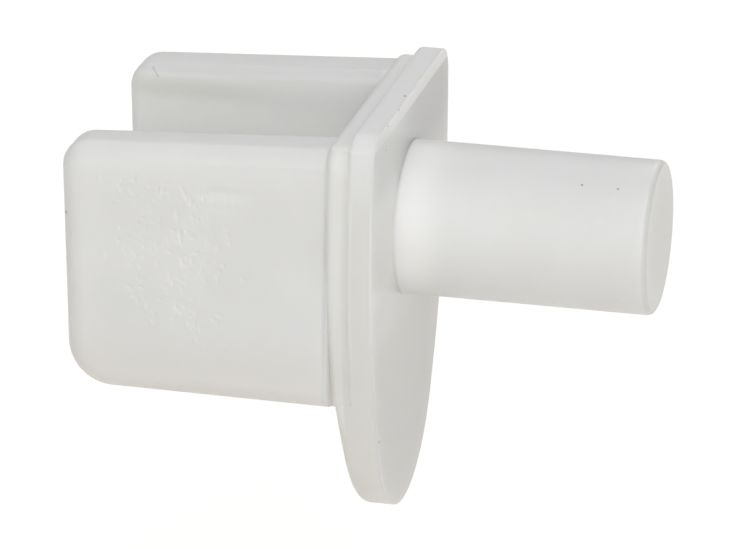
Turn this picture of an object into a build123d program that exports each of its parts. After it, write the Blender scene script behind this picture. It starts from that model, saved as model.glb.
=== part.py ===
from build123d import *
import os

# Shelf support pin, moulded in one piece from natural white plastic.
# X runs along the pin towards its free end, Z is up.
# The origin is on the pin's axis, in the flange's face that seats against the cabinet wall.
# All lengths are millimetres.

# Pin that plugs into the wall
pin_diameter = 5.0
pin_length = 8.2
pin_end_round = 0.22

# Shield-shaped flange
flange_thickness = 0.88
flange_width = 11.42
flange_widest_height = 0.9
flange_top_height = 4.22
flange_top_width = 11.08
flange_top_corner = 1.05
flange_tip_depth = 9.68
flange_tip_radius = 4.2
flange_edge_round = 0.2

# Brace, the flange's thicker part below the cradle
brace_root_thickness = 1.37
brace_tip_thickness = 1.02
brace_edge_round = 0.3

# Pad between the flange and the cradle, stepped in from the flange's rim
pad_thickness = 0.74
pad_rim_step = 0.05
pad_top_height = 3.82
pad_base_depth = 5.02
pad_top_corner = 0.64
pad_edge_round = 0.3

# Cradle, an open channel with two cheeks that takes the shelf's rod
cradle_length = 8.67
cradle_root_sink = 0.2
cradle_width = 11.14
cradle_top_height = 3.7
cradle_base_depth = 4.94
cheek_top_fall = 0.48
cheek_side_draft = 0.09
cradle_base_rise = 0.04
free_end_lean = 0.3
free_end_top_corner = 0.85
free_end_base_corner = 1.5
cheek_edge_round = 0.75
channel_width = 6.8
channel_draft = 0.09
channel_floor_thickness = 2.1
channel_floor_corner = 1.4
channel_mouth_round = 0.45

# Length by which every cutting tool passes the faces it cuts
overrun = 1.0

pad_root = flange_edge_round - flange_thickness
pad_face = -(flange_thickness + pad_thickness)
cradle_root = pad_face + cradle_root_sink
free_end = pad_face - cradle_length
cradle_height = cradle_top_height + cradle_base_depth


def round_corner(face, corner, radius):
    """Return the face with its vertex nearest to the corner rounded."""
    return fillet(face.vertices().sort_by_distance(corner)[0], radius)


def shield_outline():
    """Return the shield's face in the wall plane: a flat top, bowed sides and a round tip tangent to them."""
    half_top = flange_top_width / 2
    half_widest = flange_width / 2
    # The sides' radius is the one at which they run smoothly into the tip's arc at the joins.
    drop = flange_widest_height + flange_tip_depth - flange_tip_radius
    side_squares = half_widest**2 + drop**2 - flange_tip_radius**2
    side_radius = side_squares / (2 * (half_widest - flange_tip_radius))
    reach_share = flange_tip_radius / (side_radius - flange_tip_radius)
    half_join = reach_share * (side_radius - half_widest)
    join_height = flange_tip_radius - flange_tip_depth - reach_share * drop
    outline = Curve()
    outline += Line((-half_top, flange_top_height), (half_top, flange_top_height))
    outline += ThreePointArc((-half_join, join_height), (0, -flange_tip_depth), (half_join, join_height))
    for side in (-1, 1):
        widest = (side * half_widest, flange_widest_height)
        outline += TangentArc(widest, (side * half_top, flange_top_height), tangent=(0, 1))
        outline += TangentArc(widest, (side * half_join, join_height), tangent=(0, -1))
    return make_face(outline)


def flange_outline():
    """Return the flange's face: the shield with its two top corners rounded."""
    face = shield_outline()
    for side in (-1, 1):
        face = round_corner(face, (side * flange_top_width / 2, flange_top_height), flange_top_corner)
    return face


def make_flange():
    """Return the flange plate, sharp at the wall face and rounded on the cradle side."""
    plate = extrude(Plane.YZ * flange_outline(), -flange_thickness)
    return fillet(plate.faces().sort_by(Axis.X)[0].edges(), flange_edge_round)


def make_brace():
    """Return the tongue below the cradle, which has the flange's outline and thins to its tip."""
    tongue = extrude(Plane.YZ * flange_outline(), -(brace_root_thickness + overrun))
    wedge_profile = make_face(
        Polyline(
            (0, -cradle_base_depth),
            (-brace_root_thickness, -cradle_base_depth),
            (-brace_tip_thickness, -flange_tip_depth),
            (0, -flange_tip_depth),
            close=True,
        )
    )
    wedge = extrude(Plane.XZ * wedge_profile, flange_width / 2, both=True)
    brace = tongue & wedge
    back_edges = brace.faces().sort_by(Axis.X)[0].edges().sort_by(Axis.Z)
    return fillet(back_edges[:-1], brace_edge_round)


def make_pad():
    """Return the pad that carries the cradle: the shield stepped in, cut flat above and below."""
    outline = offset(shield_outline(), -pad_rim_step)
    middle = (pad_top_height - pad_base_depth) / 2
    band = Pos(0, middle) * Rectangle(flange_width, pad_top_height + pad_base_depth)
    section = outline & band
    section = fillet(section.vertices().sort_by(Axis.Y)[-2:], pad_top_corner)
    pad = extrude(Pos(pad_root, 0, 0) * (Plane.YZ * section), pad_face - pad_root)
    front_edges = pad.faces().sort_by(Axis.X)[0].edges().sort_by(Axis.Z)
    return fillet(front_edges[1:], pad_edge_round)


def make_cradle_block():
    """Return the cradle's drafted outer block with its long edges and free end rounded."""
    end_top = (free_end, cradle_top_height - cheek_top_fall)
    end_base = (free_end + free_end_lean, cradle_base_rise - cradle_base_depth)
    side_profile = make_face(
        Polyline(
            (cradle_root, cradle_top_height),
            end_top,
            end_base,
            (cradle_root, -cradle_base_depth),
            close=True,
        )
    )
    side_profile = round_corner(side_profile, end_top, free_end_top_corner)
    side_profile = round_corner(side_profile, end_base, free_end_base_corner)
    half_root = cradle_width / 2
    half_end = half_root - cheek_side_draft
    plan = make_face(
        Polyline(
            (cradle_root, -half_root),
            (free_end, -half_end),
            (free_end, half_end),
            (cradle_root, half_root),
            close=True,
        )
    )
    block = extrude(Plane.XZ * side_profile, half_root, both=True) & extrude(plan, cradle_height, both=True)
    for rank in (0, -1):
        side_face = block.faces().sort_by(Axis.Y)[rank]
        block = fillet(side_face.edges().sort_by(Axis.X)[:-1], cheek_edge_round)
    return block


def make_channel():
    """Return the tool for the open channel, which widens towards the free end."""
    draft_rate = channel_draft / cradle_length
    half_end = channel_width / 2 + draft_rate * overrun
    half_root = channel_width / 2 - channel_draft - draft_rate * overrun
    plan = make_face(
        Polyline(
            (cradle_root + overrun, -half_root),
            (free_end - overrun, -half_end),
            (free_end - overrun, half_end),
            (cradle_root + overrun, half_root),
            close=True,
        )
    )
    floor = channel_floor_thickness - cradle_base_depth
    channel = extrude(Pos(0, 0, floor) * plan, cradle_top_height - floor + overrun)
    floor_edges = channel.faces().sort_by(Axis.Z)[0].edges().sort_by(Axis.Y)
    return fillet([floor_edges[0], floor_edges[-1]], channel_floor_corner)


def make_cradle():
    """Return the cradle: the outer block with the channel cut out and its mouth rounded."""
    block = make_cradle_block()
    channel = make_channel()
    cradle = block - channel
    mouth = [
        edge
        for edge in new_edges(block, channel, combined=cradle)
        if edge.center().X < pad_face
    ]
    return fillet(mouth, channel_mouth_round)


def make_pin():
    """Return the round pin with its softened free end."""
    pin = extrude(Plane.YZ * Circle(pin_diameter / 2), pin_length)
    return fillet(pin.faces().sort_by(Axis.X)[-1].edges(), pin_end_round)


support_pin = make_flange() + make_brace() + make_pad() + make_cradle() + make_pin()

os.makedirs("parts", exist_ok=True)
export_step(support_pin, "parts/support_pin.step")
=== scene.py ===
import math
import random

import bmesh
import bpy
from mathutils import Matrix, Vector, noise
from mathutils.kdtree import KDTree


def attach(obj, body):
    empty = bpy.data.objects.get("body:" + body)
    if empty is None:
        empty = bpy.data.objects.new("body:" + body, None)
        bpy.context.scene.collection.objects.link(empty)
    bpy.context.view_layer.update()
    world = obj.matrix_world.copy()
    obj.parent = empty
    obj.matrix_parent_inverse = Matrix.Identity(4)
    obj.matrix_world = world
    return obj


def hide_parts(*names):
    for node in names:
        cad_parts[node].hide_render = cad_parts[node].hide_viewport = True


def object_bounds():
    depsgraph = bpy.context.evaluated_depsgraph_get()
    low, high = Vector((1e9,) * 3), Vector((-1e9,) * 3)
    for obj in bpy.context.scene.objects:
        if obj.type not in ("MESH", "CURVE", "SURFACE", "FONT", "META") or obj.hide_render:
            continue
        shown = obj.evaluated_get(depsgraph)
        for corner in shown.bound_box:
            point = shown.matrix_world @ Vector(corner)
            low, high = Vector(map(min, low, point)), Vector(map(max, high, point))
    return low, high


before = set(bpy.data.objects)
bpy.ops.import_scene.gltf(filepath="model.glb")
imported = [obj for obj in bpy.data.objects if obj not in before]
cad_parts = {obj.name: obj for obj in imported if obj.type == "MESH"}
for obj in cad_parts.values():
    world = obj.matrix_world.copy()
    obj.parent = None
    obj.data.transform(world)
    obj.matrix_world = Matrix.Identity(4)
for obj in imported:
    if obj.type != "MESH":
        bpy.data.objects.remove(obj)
cad_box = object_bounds()

MM = 0.001

# Camera, fitted to the photograph: angles in degrees, lengths in the photograph's pixels
VIEW_AZIMUTH = 12.41
VIEW_ELEVATION = 19.19
VIEW_ROLL = 1.04
FOCAL_PIXELS = 7076.0
PIXELS_PER_MM = 31.056
SHIFT_X_PIXELS = 43.8
SHIFT_Y_PIXELS = -58.7
WIDTH_PIXELS = 732
# Its sensor's width in millimetres, and the nearest distance that it sees, in metres
SENSOR_MM = 36.0
CLIP_START = 0.01

# Near cheek's outer face: it lies beyond these places, in millimetres, and faces the viewer
CHEEK_X = -2.0
CHEEK_Y = -5.0
CHEEK_FACING = -0.99

# Flow-marked patch on the near cheek, in millimetres
PATCH_X = (-9.1, -3.4)
PATCH_Z = (-3.4, 2.75)
PATCH_STEP = 0.03
# Widths over which relief fades at the patch's sides, base and top
PATCH_RIM_FADE = (0.2, 0.2, 0.2)

# Bands of small dents: centre and spread along X, lowest and highest Z, number of dents
DENT_BANDS = (
    (-7.7, 0.45, -1.9, 2.4, 50),
    (-5.95, 0.25, -2.9, 2.2, 70),
    (-6.7, 0.95, -2.6, 2.4, 60),
    (-5.1, 0.40, -3.0, 2.3, 34),
)
DENT_SEED = 11
# Most dents stand upright, some lie flat; two in three go inwards, the rest stand out a little less
DENT_SLANTS = (0.0, math.pi / 2, math.pi / 2, math.pi / 2)
DENT_SLANT_SPREAD = 0.25
DENT_LENGTHS = (0.045, 0.13)
DENT_WIDTHS = (0.03, 0.05)
DENT_SIGNS = (1, 1, -0.7)
DENT_DEPTHS = (0.012, 0.034)
# A dent is felt within this many of its lengths
DENT_REACH = 2.5

# Ripples under the cheek's top edge: centre and spread along X, then depth, Z, spread and lean of each
RIPPLE_X = -4.9
RIPPLE_SPREAD = 0.75
RIPPLES = (
    (0.075, 2.09, 0.16, 0.05),
    (0.030, 1.56, 0.14, 0.0),
)
# Area round the ripples that has the marked skin's finish: centre in Z, and spread along X and Z
RIPPLE_SKIN_Z = 1.95
RIPPLE_SKIN_SPREAD = (0.9, 0.55)

# Slow waves over the patch: depth, rate along X and Z, place in the noise, and fade at the rim
WAVE_DEPTH = 0.012
WAVE_RATE = (1.6, 2.2)
WAVE_PLACE = 4.0
WAVE_FADE = (1.2, 0.8, 0.5)

# Pin's turned skin: lengths in millimetres, then numbers of rings and of cuts in each facet's edge
PIN_ROOT = 0.01
PIN_END_ROUND = 0.22
PIN_RINGS = 40
PIN_END_RINGS = 8
PIN_RIM_CUTS = 3

# Mesh cleaning: lengths in metres, angles in degrees, and the weight of large faces in the normals
MERGE_DISTANCE = 1e-7
CUT_DISTANCE = 1e-9
FLAT_ANGLE = 0.2
SHARP_ANGLE = 33
NORMAL_WEIGHT = 60

# Plastic's noises: scale per millimetre, detail and roughness, and the range of values in use
CLOUD_NOISE = (0.45, 3.0, 0.5)
CLOUD_RANGE = (0.3, 0.7)
GRAIN_NOISE = (3.0, 4.0, 0.6)
GRAIN_RANGE = (0.25, 0.75)
SWELL_NOISE = (0.9, 2.0, 0.5)
# Height in millimetres that the swell and the grain give the skin
SWELL_HEIGHT = 0.010
GRAIN_HEIGHT = 0.0022
# Plastic's colours: the clouds, the flow marks and the dirt
CLOUD_DARK = (0.818, 0.824, 0.818, 1)
CLOUD_LIGHT = (0.842, 0.848, 0.843, 1)
MARK_COLOUR = (0.90, 0.905, 0.90)
MARK_RANGE = (0.3, 1.0)
MARK_STRENGTH = 0.25
DIRT_COLOUR = (0.10, 0.095, 0.085)
# Plastic's gloss, and its translucency from plain to flow-marked skin, with the depth in millimetres
ROUGHNESS = (0.32, 0.42)
SPECULAR = 0.6
MILKY_RANGE = (0.0, 0.8)
MILKY_WEIGHTS = (0.9, 0.25)
MILKY_COLOUR = (1.0, 0.95, 0.85)
MILKY_DEPTH = 1.2

# Floor: depth and half width in millimetres, colour, and brightness added where the camera sees it
FLOOR_DEPTH = -20.0
FLOOR_HALF = 800.0
PAPER_COLOUR = (0.86, 0.835, 0.795, 1)
PAPER_LIFT = 0.45

# Light: the world's strength, and soft lights with place and size in millimetres, and watts
WORLD_STRENGTH = 0.340
LIGHT_AIM = (-1, 0, -1)
LIGHTS = (
    ("low", (68.6, -335.7, 71.4), 200, 0.203),
    ("front", (68.6, -311.0, 145.0), 200, 0.180),
    ("high", (68.6, -181.9, 291.1), 200, 0.196),
    ("top", (68.6, -71.4, 335.7), 200, 0.090),
    ("back", (68.6, 281.1, 196.9), 200, 0.186),
    ("back_left", (-175.9, 175.9, 246.2), 300, 0.131),
)


# Visual copy of the part, with a fine grid where the cheek's skin is marked


def ease(low, high, value):
    """Return a smooth step from 0 at low to 1 at high."""
    t = min(1.0, max(0.0, (value - low) / (high - low)))
    return t * t * (3.0 - 2.0 * t)


def bell(value, centre, spread):
    """Return a bell curve that is 1 at its centre."""
    return math.exp(-(((value - centre) / spread) ** 2))


def patch_share(x, z, fade):
    """Return 1 inside the patch and fall smoothly to 0 at its rim, over the fade's widths."""
    side, base, top = fade
    across = ease(PATCH_X[0], PATCH_X[0] + side, x) * ease(PATCH_X[1], PATCH_X[1] - side, x)
    upward = ease(PATCH_Z[0], PATCH_Z[0] + base, z) * ease(PATCH_Z[1], PATCH_Z[1] - top, z)
    return across * upward


def scatter_dents():
    """Return the patch's dents as place, slant, half length, half width and depth in millimetres."""
    chance = random.Random(DENT_SEED)
    dents = []
    for centre, spread, low, high, count in DENT_BANDS:
        for _ in range(count):
            x, z = chance.gauss(centre, spread), chance.uniform(low, high)
            slant = chance.choice(DENT_SLANTS) + chance.gauss(0.0, DENT_SLANT_SPREAD)
            length = chance.uniform(*DENT_LENGTHS)
            width = chance.uniform(*DENT_WIDTHS)
            depth = chance.choice(DENT_SIGNS) * chance.uniform(*DENT_DEPTHS)
            dents.append((x, z, slant, length, width, depth))
    return dents


def sag(x, z):
    """Return the depth of the ripples under the cheek's top edge and of the patch's slow waves."""
    ripple = 0.0
    for depth, height, spread, lean in RIPPLES:
        ripple += depth * bell(z, height + lean * (x - RIPPLE_X), spread)
    wave = noise.noise(Vector((WAVE_RATE[0] * x, WAVE_RATE[1] * z, WAVE_PLACE)))
    waves = WAVE_DEPTH * patch_share(x, z, WAVE_FADE) * wave
    return bell(x, RIPPLE_X, RIPPLE_SPREAD) * ripple + waves


def press_patch(verts, flow):
    """Press the dents, ripples and waves into the patch's vertices and note the marks in the flow layer."""
    tree = KDTree(len(verts))
    for i, vert in enumerate(verts):
        tree.insert((vert.co.x / MM, 0.0, vert.co.z / MM), i)
    tree.balance()
    depths = [sag(vert.co.x / MM, vert.co.z / MM) for vert in verts]
    for x, z, slant, length, width, depth in scatter_dents():
        for spot, i, _ in tree.find_range((x, 0.0, z), DENT_REACH * length):
            along = (spot.x - x) * math.cos(slant) + (spot.z - z) * math.sin(slant)
            aside = (spot.z - z) * math.cos(slant) - (spot.x - x) * math.sin(slant)
            pull = bell(along, 0.0, length) * bell(aside, 0.0, width)
            depths[i] += depth * pull
            verts[i][flow] = min(1.0, verts[i][flow] + pull)
    for vert, depth in zip(verts, depths):
        x, z = vert.co.x / MM, vert.co.z / MM
        finish = bell(x, RIPPLE_X, RIPPLE_SKIN_SPREAD[0]) * bell(z, RIPPLE_SKIN_Z, RIPPLE_SKIN_SPREAD[1])
        vert[flow] = max(vert[flow], finish)
        vert.co.y += patch_share(x, z, PATCH_RIM_FADE) * depth * MM


def middle_face(geom, x, z):
    """Return the face of the geometry whose centre is nearest to a place, seen along Y."""

    def gap(face):
        centre = face.calc_center_median()
        return (centre.x - x) ** 2 + (centre.z - z) ** 2

    return min((g for g in geom if isinstance(g, bmesh.types.BMFace)), key=gap)


def cut(bm, geom, normal, places):
    """Cut the geometry by planes across the normal and return all of it."""
    for place in places:
        point = normal * place * MM
        result = bmesh.ops.bisect_plane(bm, geom=geom, dist=CUT_DISTANCE, plane_co=point, plane_no=normal)
        geom = result["geom"]
    return geom


def steps(span):
    """Return the places of the grid's cuts inside a span."""
    count = round((span[1] - span[0]) / PATCH_STEP)
    return [span[0] + (span[1] - span[0]) * i / count for i in range(1, count)]


def mark_cheek(bm, flow):
    """Cut a fine grid into the near cheek's face and press the flow marks into it."""
    faces = [f for f in bm.faces if f.normal.y < CHEEK_FACING]
    faces = [f for f in faces if f.calc_center_median().x < CHEEK_X * MM]
    faces = [f for f in faces if f.calc_center_median().y < CHEEK_Y * MM]
    cheek = max(faces, key=lambda f: f.calc_area())
    across, upward = Vector((1, 0, 0)), Vector((0, 0, 1))
    geom = cut(bm, [cheek, *cheek.edges, *cheek.verts], across, PATCH_X)
    geom = cut(bm, geom, upward, PATCH_Z)
    patch = middle_face(geom, sum(PATCH_X) / 2 * MM, sum(PATCH_Z) / 2 * MM)
    geom = cut(bm, [patch, *patch.edges, *patch.verts], across, steps(PATCH_X))
    geom = cut(bm, geom, upward, steps(PATCH_Z))
    press_patch([g for g in geom if isinstance(g, bmesh.types.BMVert)], flow)


def turn_pin(bm, length):
    """Swap the pin's flat facets for a finely turned skin of the same radius, length and end rounding."""
    facets = [f for f in bm.faces if f.calc_center_median().x > PIN_ROOT * MM]
    bmesh.ops.delete(bm, geom=facets, context="FACES")
    rim = [e for e in bm.edges if e.is_boundary]
    radius = max(math.hypot(v.co.y, v.co.z) for e in rim for v in e.verts)
    bmesh.ops.subdivide_edges(bm, edges=rim, cuts=PIN_RIM_CUTS)
    ring = list({v for e in bm.edges if e.is_boundary for v in e.verts})
    ring.sort(key=lambda v: math.atan2(v.co.z, v.co.y))
    for vert in ring:
        vert.co.yz = vert.co.yz.normalized() * radius
    angles = [math.atan2(v.co.z, v.co.y) for v in ring]
    round_end = PIN_END_ROUND * MM
    profile = [((length - round_end) * i / PIN_RINGS, radius) for i in range(1, PIN_RINGS + 1)]
    for i in range(1, PIN_END_RINGS + 1):
        bend = math.pi / 2 * i / PIN_END_RINGS
        x = length - round_end * (1 - math.sin(bend))
        profile.append((x, radius - round_end * (1 - math.cos(bend))))
    for x, r in profile:
        following = [bm.verts.new((x, r * math.cos(a), r * math.sin(a))) for a in angles]
        for i in range(len(ring)):
            bm.faces.new((ring[i - 1], ring[i], following[i], following[i - 1]))
        ring = following
    bm.faces.new(ring)


def mark_sharp(bm):
    """Keep the part's true edges crisp."""
    limit = math.radians(SHARP_ANGLE)
    for edge in bm.edges:
        edge.smooth = len(edge.link_faces) == 2 and edge.calc_face_angle(0) < limit


def make_visual(node):
    """Return the part's visual piece: the CAD skin with a flow-marked near cheek and a finely turned pin."""
    bm = bmesh.new()
    bm.from_mesh(node.data)
    flow = bm.verts.layers.float.new("flow")
    bmesh.ops.remove_doubles(bm, verts=bm.verts, dist=MERGE_DISTANCE)
    flat = math.radians(FLAT_ANGLE)
    bmesh.ops.dissolve_limit(
        bm, angle_limit=flat, verts=bm.verts, edges=bm.edges, use_dissolve_boundaries=False
    )
    mark_cheek(bm, flow)
    turn_pin(bm, cad_box[1][0])
    bmesh.ops.recalc_face_normals(bm, faces=bm.faces)
    mark_sharp(bm)
    for face in bm.faces:
        face.smooth = True
    mesh = bpy.data.meshes.new("support_pin_skin")
    bm.to_mesh(mesh)
    bm.free()
    piece = bpy.data.objects.new("support_pin_skin", mesh)
    bpy.context.scene.collection.objects.link(piece)
    weighted = piece.modifiers.new("even_normals", "WEIGHTED_NORMAL")
    weighted.keep_sharp = True
    weighted.weight = NORMAL_WEIGHT
    return piece


# Materials


class Nodes:
    """Short helper for building a material's node tree."""

    def __init__(self, tree):
        self.tree = tree

    def add(self, kind, **settings):
        """Return a new node with its settings."""
        node = self.tree.nodes.new(kind)
        for name, value in settings.items():
            setattr(node, name, value)
        return node

    def link(self, source, target):
        """Feed a socket from another one."""
        self.tree.links.new(source, target)

    def math(self, operation, *values):
        """Return an operation's result on sockets or numbers."""
        node = self.add("ShaderNodeMath", operation=operation)
        for socket, value in zip(node.inputs, values):
            if isinstance(value, (int, float)):
                socket.default_value = value
            else:
                self.link(value, socket)
        return node.outputs[0]

    def product(self, first, *others):
        """Return sockets or numbers multiplied together."""
        for other in others:
            first = self.math("MULTIPLY", first, other)
        return first

    def noise(self, vector, scale, detail, roughness):
        """Return a cloudy noise of about 0 to 1 over the vector's space."""
        node = self.add("ShaderNodeTexNoise")
        node.inputs["Scale"].default_value = scale
        node.inputs["Detail"].default_value = detail
        node.inputs["Roughness"].default_value = roughness
        self.link(vector, node.inputs["Vector"])
        return node.outputs["Fac"]

    def seen(self):
        """Return 1 for rays that the camera sees directly, in a mirror or through the plastic, else 0."""
        path = self.add("ShaderNodeLightPath").outputs
        direct = self.math("MAXIMUM", path["Is Camera Ray"], path["Is Glossy Ray"])
        return self.math("MAXIMUM", direct, path["Is Transmission Ray"])

    def blend(self, colour, other, factor):
        """Return the colour turned into the other one by a factor that varies over the skin."""
        node = self.add("ShaderNodeMix", data_type="RGBA")
        node.inputs["B"].default_value = (*other, 1)
        self.link(colour, node.inputs["A"])
        self.link(factor, node.inputs["Factor"])
        return node.outputs["Result"]

    def remap(self, value, low, high, to_low, to_high, smooth=False):
        """Return a value moved from one range to another and held at its ends."""
        node = self.add("ShaderNodeMapRange", interpolation_type="SMOOTHSTEP" if smooth else "LINEAR")
        node.inputs["From Min"].default_value = low
        node.inputs["From Max"].default_value = high
        node.inputs["To Min"].default_value = to_low
        node.inputs["To Max"].default_value = to_high
        self.link(value, node.inputs["Value"])
        return node.outputs["Result"]

    def above(self, value, low, high):
        """Return a mask that is 0 below low and 1 above high."""
        return self.remap(value, low, high, 0.0, 1.0, smooth=True)

    def below(self, value, low, high):
        """Return a mask that is 1 below low and 0 above high."""
        return self.remap(value, low, high, 1.0, 0.0, smooth=True)

    def between(self, value, low, high, fade):
        """Return a mask that is 1 between low and high, with soft ends."""
        rise = self.above(value, low - fade, low + fade)
        return self.product(rise, self.below(value, high - fade, high + fade))


# Small dark marks on the skin: place and radius in millimetres, and strength
SPECKS = (
    ((-0.11, -0.585, 4.22), 0.07, 0.75),
    ((0.0, -1.965, 4.19), 0.06, 0.7),
    ((0.0, -3.565, 4.156), 0.06, 0.8),
    ((0.0, -3.793, 3.431), 0.05, 0.6),
    ((0.0, -4.008, -6.327), 0.07, 0.8),
    ((7.046, -1.467, 2.022), 0.05, 0.6),
    ((5.877, -1.441, 2.042), 0.05, 0.7),
    ((-10.064, -5.175, 0.896), 0.09, 0.6),
)
# Share of a mark's radius that is dark all over
SPECK_CORE_SHARE = 0.4
# Short faint scratch on the far cheek: its ends and radius in millimetres, and strength
SCRATCH = ((-9.46, 3.524, 3.133), (-9.255, 3.393, 2.881), 0.055, 0.2)
SCRATCH_DOTS = 8


# Zones of the part: the kind of mask, the axis that it follows and its limits in millimetres.
# The axis "aside" is the distance from the upright middle plane.
SIDES = (Nodes.above, "aside", 4.2, 4.6)
WALL = (Nodes.between, "x", -0.06, 0.04, 0.03)
CRADLE = (Nodes.below, "x", -1.9, -1.7)
CHANNEL = (Nodes.between, "aside", 3.1, 3.5, 0.08)

# Painted light and shade on the plastic, in the order in which they are laid on: a colour and the zones that
# bound it
PAINTED_LIGHT_AND_SHADE = (
    # Painted shade: the part's underside darker and warmer, as under warm light bounced from below
    ((0.805, 0.797, 0.775), (Nodes.below, "z", -4.0, -2.4)),
    # Painted light on the pin's root and end face, as a glow through the plastic, and painted shade on the
    # end's rounded edge
    ((0.945, 0.95, 0.935), (Nodes.between, "x", 0.07, 9.0, 0.05), (Nodes.below, "x", 0.2, 1.9)),
    ((0.875, 0.88, 0.86), (Nodes.above, "x", 8.17, 8.195)),
    ((0.745, 0.75, 0.74), (Nodes.between, "x", 8.04, 8.185, 0.02)),
    # Painted shade on the wall face's far top and on its tip, and painted light on its part beside the pin,
    # as light thrown back from the pin
    ((0.66, 0.665, 0.67), WALL, (Nodes.above, "z", 0.6, 2.4), (Nodes.above, "y", -3.6, 1.0)),
    ((0.75, 0.745, 0.735), WALL, (Nodes.below, "z", -7.0, -1.5)),
    ((0.91, 0.915, 0.905), WALL, (Nodes.between, "z", -1.5, 2.0, 0.6), (Nodes.below, "y", -2.8, -1.5)),
    # Painted shade in the pad's seam, at its step and on the flange's rim lower down, and painted light on
    # the pad's strip
    ((0.74, 0.745, 0.735), SIDES, (Nodes.between, "x", -1.58, -1.40, 0.07)),
    ((0.79, 0.795, 0.78), SIDES, (Nodes.between, "x", -0.92, -0.74, 0.07)),
    ((0.79, 0.795, 0.77), SIDES, (Nodes.between, "x", -0.66, -0.06, 0.05), (Nodes.below, "z", 1.5, 3.0)),
    ((0.86, 0.865, 0.845), SIDES, (Nodes.between, "x", -1.28, -1.02, 0.05)),
    # Painted light on the top of the flange and pad
    ((0.885, 0.89, 0.88), (Nodes.above, "z", 3.72, 3.80), (Nodes.above, "x", -1.7, -1.6)),
    # Painted light on the channel's sides deep down, stronger towards the pad, and painted shade just under
    # the mouth
    (
        (0.915, 0.92, 0.91),
        CRADLE,
        CHANNEL,
        (Nodes.below, "z", 1.3, 2.6),
        (Nodes.remap, "x", -9.0, -3.0, 0.45, 1.0),
    ),
    (
        (0.77, 0.775, 0.755),
        CRADLE,
        CHANNEL,
        (Nodes.between, "z", 2.25, 2.85, 0.25),
        (Nodes.below, "x", -7.5, -4.0),
    ),
    # Painted shade on the rounding of the channel's mouth, dimming its highlight
    ((0.76, 0.765, 0.765), CRADLE, (Nodes.between, "aside", 3.38, 3.8, 0.06), (Nodes.above, "z", 2.95, 3.1)),
)


def paint_light_and_shade(nodes, point, colour):
    """Return the colour with painted light and shade laid over it."""
    parts = nodes.add("ShaderNodeSeparateXYZ")
    nodes.link(point, parts.inputs[0])
    axes = dict(zip("xyz", parts.outputs))
    axes["aside"] = nodes.math("ABSOLUTE", axes["y"])
    # Each row lays a painted lighter or darker tone over its zones
    for painted_colour, *zones in PAINTED_LIGHT_AND_SHADE:
        masks = [kind(nodes, axes[axis], *limits) for kind, axis, *limits in zones]
        colour = nodes.blend(colour, painted_colour, nodes.product(*masks))
    return colour


def grime(nodes, point):
    """Return the mask of the specks and the scratch."""
    start, end, scratch_radius, scratch_strength = SCRATCH
    marks = list(SPECKS)
    for i in range(SCRATCH_DOTS):
        dot = Vector(start).lerp(Vector(end), i / (SCRATCH_DOTS - 1))
        marks.append((dot, scratch_radius, scratch_strength))
    dirt = None
    for spot, radius, strength in marks:
        gap = nodes.add("ShaderNodeVectorMath", operation="DISTANCE")
        nodes.link(point, gap.inputs[0])
        gap.inputs[1].default_value = spot
        core = SPECK_CORE_SHARE * radius
        mark = nodes.remap(gap.outputs["Value"], core, radius, strength, 0.0, smooth=True)
        dirt = mark if dirt is None else nodes.math("MAXIMUM", dirt, mark)
    return dirt


def plastic():
    """Return natural white plastic: milky, satin, with faint cloudiness and fine moulding grain, and painted
    light and shade laid over its colour.
    """
    material = bpy.data.materials.new("natural_plastic")
    material.use_nodes = True
    nodes = Nodes(material.node_tree)
    shader = material.node_tree.nodes["Principled BSDF"]
    place = nodes.add("ShaderNodeTexCoord").outputs["Object"]
    scaled = nodes.add("ShaderNodeVectorMath", operation="SCALE")
    scaled.inputs["Scale"].default_value = 1.0 / MM
    nodes.link(place, scaled.inputs[0])
    point = scaled.outputs[0]

    cloud = nodes.noise(point, *CLOUD_NOISE)
    grain = nodes.noise(point, *GRAIN_NOISE)
    swell = nodes.noise(point, *SWELL_NOISE)
    flow = nodes.add("ShaderNodeAttribute", attribute_name="flow").outputs["Fac"]
    tone = nodes.add("ShaderNodeMix", data_type="RGBA")
    tone.inputs["A"].default_value = CLOUD_DARK
    tone.inputs["B"].default_value = CLOUD_LIGHT
    nodes.link(nodes.remap(cloud, *CLOUD_RANGE, 0.0, 1.0), tone.inputs["Factor"])
    marked = nodes.remap(flow, *MARK_RANGE, 0.0, MARK_STRENGTH)
    colour = nodes.blend(tone.outputs["Result"], MARK_COLOUR, marked)
    # Painted light and shade laid over the plastic's colour
    colour = paint_light_and_shade(nodes, point, colour)
    colour = nodes.blend(colour, DIRT_COLOUR, grime(nodes, point))
    nodes.link(colour, shader.inputs["Base Color"])

    nodes.link(nodes.remap(grain, *GRAIN_RANGE, *ROUGHNESS), shader.inputs["Roughness"])
    shader.inputs["Specular IOR Level"].default_value = SPECULAR
    nodes.link(nodes.remap(flow, *MILKY_RANGE, *MILKY_WEIGHTS), shader.inputs["Subsurface Weight"])
    shader.inputs["Subsurface Radius"].default_value = MILKY_COLOUR
    shader.inputs["Subsurface Scale"].default_value = MILKY_DEPTH * MM

    height = nodes.math("ADD", nodes.product(swell, SWELL_HEIGHT), nodes.product(grain, GRAIN_HEIGHT))
    bump = nodes.add("ShaderNodeBump")
    bump.inputs["Strength"].default_value = 1.0
    bump.inputs["Distance"].default_value = MM
    nodes.link(height, bump.inputs["Height"])
    nodes.link(bump.outputs["Normal"], shader.inputs["Normal"])
    return material


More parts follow.
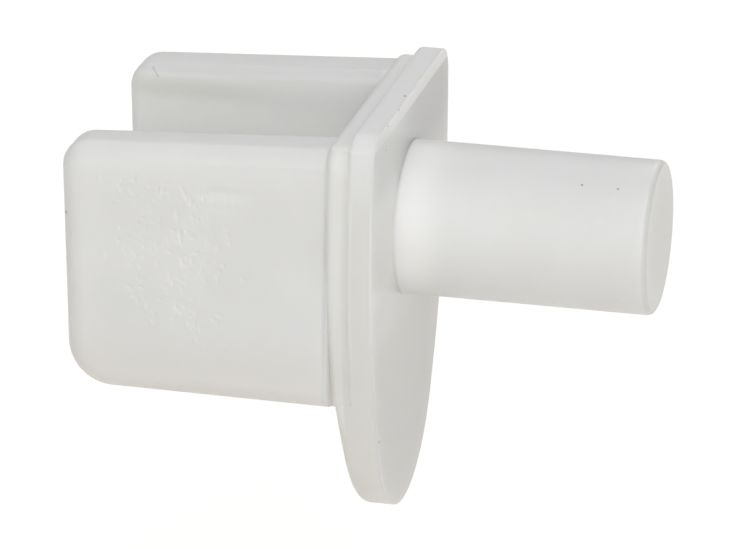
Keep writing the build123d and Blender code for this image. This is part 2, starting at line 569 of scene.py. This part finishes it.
def floor_paper():
    """Return white paper that the camera sees as a white ground, still with the part's shadow."""
    material = bpy.data.materials.new("floor_paper")
    material.use_nodes = True
    tree = material.node_tree
    nodes = Nodes(tree)
    tree.nodes.remove(tree.nodes["Principled BSDF"])
    paper = nodes.add("ShaderNodeBsdfDiffuse")
    paper.inputs["Color"].default_value = PAPER_COLOUR
    lift = nodes.add("ShaderNodeEmission")
    nodes.link(nodes.remap(nodes.seen(), 0.0, 1.0, 0.0, PAPER_LIFT), lift.inputs["Strength"])
    both = nodes.add("ShaderNodeAddShader")
    nodes.link(paper.outputs[0], both.inputs[0])
    nodes.link(lift.outputs[0], both.inputs[1])
    nodes.link(both.outputs[0], tree.nodes["Material Output"].inputs["Surface"])
    return material


# The object

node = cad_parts["support_pin"]
skin = make_visual(node)
skin.data.materials.clear()
skin.data.materials.append(plastic())
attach(skin, "root")
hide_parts("support_pin")

# Floor

corners = [(-1, -1), (1, -1), (1, 1), (-1, 1)]
floor_mesh = bpy.data.meshes.new("floor")
floor_mesh.from_pydata(
    [(x * FLOOR_HALF * MM, y * FLOOR_HALF * MM, FLOOR_DEPTH * MM) for x, y in corners], [], [(0, 1, 2, 3)]
)
floor = bpy.data.objects.new("floor", floor_mesh)
bpy.context.scene.collection.objects.link(floor)
floor_mesh.materials.append(floor_paper())

# Light

world = bpy.data.worlds.new("studio")
bpy.context.scene.world = world
world.use_nodes = True
background = world.node_tree.nodes["Background"]
background.inputs["Color"].default_value = (1, 1, 1, 1)
background.inputs["Strength"].default_value = WORLD_STRENGTH


def softbox(name, place, size, watts):
    """Add a square soft light at a place in millimetres, turned to the part."""
    lamp = bpy.data.lights.new(name, "AREA")
    lamp.shape = "SQUARE"
    lamp.size = size * MM
    lamp.energy = watts
    holder = bpy.data.objects.new(name, lamp)
    bpy.context.scene.collection.objects.link(holder)
    holder.location = Vector(place) * MM
    holder.rotation_euler = (Vector(LIGHT_AIM) - Vector(place)).to_track_quat("-Z", "Y").to_euler()


for light in LIGHTS:
    softbox(*light)

# Camera

azimuth = math.radians(VIEW_AZIMUTH)
elevation = math.radians(VIEW_ELEVATION)
roll = math.radians(VIEW_ROLL)
level = Vector((math.cos(azimuth), math.sin(azimuth), 0))
ahead = Vector((math.sin(azimuth), -math.cos(azimuth), 0))
back = math.cos(elevation) * ahead + math.sin(elevation) * Vector((0, 0, 1))
rise = back.cross(level)
right = math.cos(roll) * level + math.sin(roll) * rise
up = -math.sin(roll) * level + math.cos(roll) * rise
place = -SHIFT_X_PIXELS * right + SHIFT_Y_PIXELS * up + FOCAL_PIXELS * back
camera_data = bpy.data.cameras.new("camera")
camera_data.sensor_fit = "HORIZONTAL"
camera_data.sensor_width = SENSOR_MM
camera_data.lens = FOCAL_PIXELS / WIDTH_PIXELS * SENSOR_MM
camera_data.clip_start = CLIP_START
camera = bpy.data.objects.new("camera", camera_data)
bpy.context.scene.collection.objects.link(camera)
turn = Matrix((right, up, back)).transposed().to_4x4()
camera.matrix_world = Matrix.Translation(place / PIXELS_PER_MM * MM) @ turn
bpy.context.scene.camera = camera

bpy.context.scene.view_settings.view_transform = "Standard"
